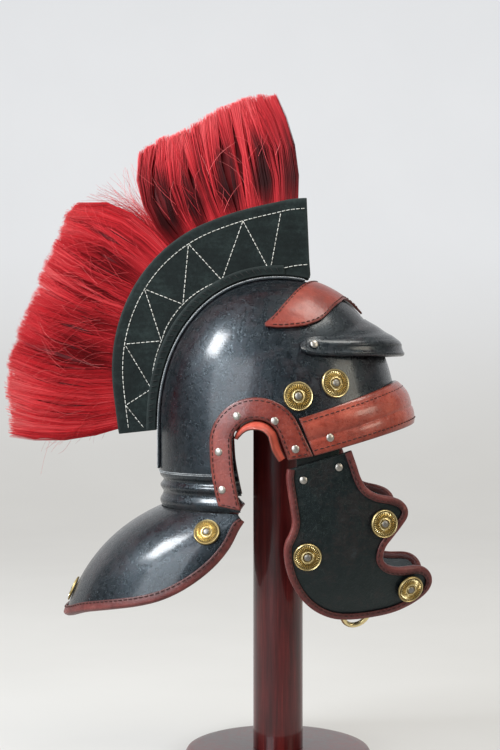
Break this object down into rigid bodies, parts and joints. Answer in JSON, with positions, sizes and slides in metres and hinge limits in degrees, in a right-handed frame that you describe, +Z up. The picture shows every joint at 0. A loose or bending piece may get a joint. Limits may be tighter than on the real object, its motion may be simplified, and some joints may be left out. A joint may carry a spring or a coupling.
{
  "type": "roman centurion helmet with display stand",
  "caption": "Leather centurion helmet with a hair crest, neck guard, peaked brow and hanging cheek guards, on a plain turned wooden pole stand.",
  "frame": {"origin": "centre of the stand base's underside", "axes": "+X towards the helmet's face, +Y towards the wearer's left, +Z up; the plane y = 0 is the plane of symmetry"},
  "size_m": [0.4175, 0.216, 0.6686],
  "materials": {
    "black_leather": "waxed black leather, semi-gloss, scuffed",
    "red_leather": "oxblood leather with a dark stitch line",
    "bright_red_leather": "brighter red leather",
    "crest_leather": "matt black-green leather with pale stitching",
    "red_hair": "dyed red hair",
    "brass": "stamped brass",
    "nickel": "nickel rivet heads",
    "dark_wood": "gloss dark red-brown stain"
  },
  "bodies": {
    "root": {"brow_band": "red_leather", "brow_peak": "black_leather", "brow_plate": "red_leather", "brow_rivet_left": "nickel", "brow_rivet_right": "nickel", "cheek_binding_left": "red_leather", "cheek_binding_right": "red_leather", "cheek_guard_left": "black_leather", "cheek_guard_right": "black_leather", "cheek_rivet_1_left": "nickel", "cheek_rivet_1_right": "nickel", "cheek_rivet_2_left": "nickel", "cheek_rivet_2_right": "nickel", "cheek_rosette_brow_left": "brass", "cheek_rosette_brow_right": "brass", "cheek_rosette_chin_left": "brass", "cheek_rosette_chin_right": "brass", "cheek_rosette_ear_left": "brass", "cheek_rosette_ear_right": "brass", "crest_core": "crest_leather", "crest_hair_front": "red_hair", "crest_hair_rear": "red_hair", "crest_panel_left": "crest_leather", "crest_panel_right": "crest_leather", "crown_strip": "black_leather", "dee_ring_left": "brass", "dee_ring_right": "brass", "dee_tab_left": "black_leather", "dee_tab_right": "black_leather", "dome_rosette_front_left": "brass", "dome_rosette_front_right": "brass", "dome_rosette_rear_left": "brass", "dome_rosette_rear_right": "brass", "ear_band_left": "red_leather", "ear_band_right": "red_leather", "ear_guard_left": "bright_red_leather", "ear_guard_right": "bright_red_leather", "ear_rivet_1_left": "nickel", "ear_rivet_1_right": "nickel", "ear_rivet_2_left": "nickel", "ear_rivet_2_right": "nickel", "ear_rivet_3_left": "nickel", "ear_rivet_3_right": "nickel", "ear_rivet_4_left": "nickel", "ear_rivet_4_right": "nickel", "ear_rivet_5_left": "nickel", "ear_rivet_5_right": "nickel", "hinge_strap_left": "black_leather", "hinge_strap_right": "black_leather", "neck_binding": "red_leather", "neck_guard": "black_leather", "neck_rosette_left": "brass", "neck_rosette_rear": "brass", "neck_rosette_right": "brass", "peak_rivet_left": "nickel", "peak_rivet_right": "nickel", "skull": "black_leather", "stand_base": "dark_wood", "stand_cap": "dark_wood", "stand_pole": "dark_wood"}
  },
  "joints": []
}
